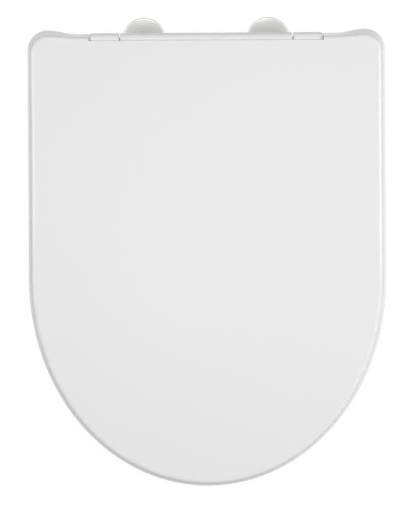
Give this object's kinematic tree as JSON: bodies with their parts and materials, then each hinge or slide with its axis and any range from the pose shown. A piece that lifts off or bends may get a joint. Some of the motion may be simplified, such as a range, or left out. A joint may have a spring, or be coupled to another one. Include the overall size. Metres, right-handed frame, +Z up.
{
  "type": "toilet seat",
  "caption": "D-shaped toilet seat with a wrap-over lid, turning on a soft-close hinge bar that stands on round metal pillars bolted to the pan.",
  "frame": {"origin": "on the pan's deck, midway between the two fixing bolts", "axes": "+Z up from the deck, +Y to the back, from the seat's front towards the hinge, +X to the right seen from the front"},
  "size_m": [0.3594, 0.4734, 0.118],
  "materials": {
    "white_duroplast": "polished urea moulding",
    "hinge_white": "gloss injection moulding",
    "soft_buffer": "matt translucent white elastomer",
    "bearing_nylon": "natural nylon",
    "damper_grey": "grey moulding",
    "spindle_steel": "turned steel",
    "pillar_zinc": "chromed zinc casting",
    "cap_chrome": "satin chrome on steel",
    "gasket_rubber": "black rubber",
    "bolt_steel": "stainless steel",
    "nut_nylon": "white nylon"
  },
  "bodies": {
    "hinge_base": {"hinge_bar": "hinge_white", "damper_left": "damper_grey", "damper_right": "damper_grey", "post_sleeve_left": "bearing_nylon", "post_sleeve_right": "bearing_nylon", "hinge_pillar_left": "pillar_zinc", "hinge_pillar_right": "pillar_zinc", "pillar_cap_left": "cap_chrome", "pillar_cap_right": "cap_chrome", "deck_gasket_left": "gasket_rubber", "deck_gasket_right": "gasket_rubber", "cone_washer_left": "gasket_rubber", "cone_washer_right": "gasket_rubber", "fixing_bolts": "bolt_steel", "clamp_washers": "bolt_steel", "wing_nuts": "nut_nylon"},
    "seat": {"seat_ring": "white_duroplast", "seat_buffer_front_left": "soft_buffer", "seat_buffer_front_right": "soft_buffer", "seat_buffer_rear_left": "soft_buffer", "seat_buffer_rear_right": "soft_buffer", "seat_bush_left": "bearing_nylon", "seat_bush_right": "bearing_nylon", "damper_spindle_left": "spindle_steel"},
    "lid": {"lid": "white_duroplast", "lid_buffer_left": "soft_buffer", "lid_buffer_right": "soft_buffer", "lid_pin_left": "spindle_steel", "damper_spindle_right": "spindle_steel"}
  },
  "joints": [
    {"name": "seat_hinge", "type": "hinge", "parent": "hinge_base", "child": "seat", "pos_m": [0, -0.005, 0.031], "axis": [-1, 0, 0], "range_deg": [0, 95]},
    {"name": "lid_hinge", "type": "hinge", "parent": "seat", "child": "lid", "pos_m": [0, -0.005, 0.031], "axis": [-1, 0, 0], "range_deg": [0, 100]}
  ]
}
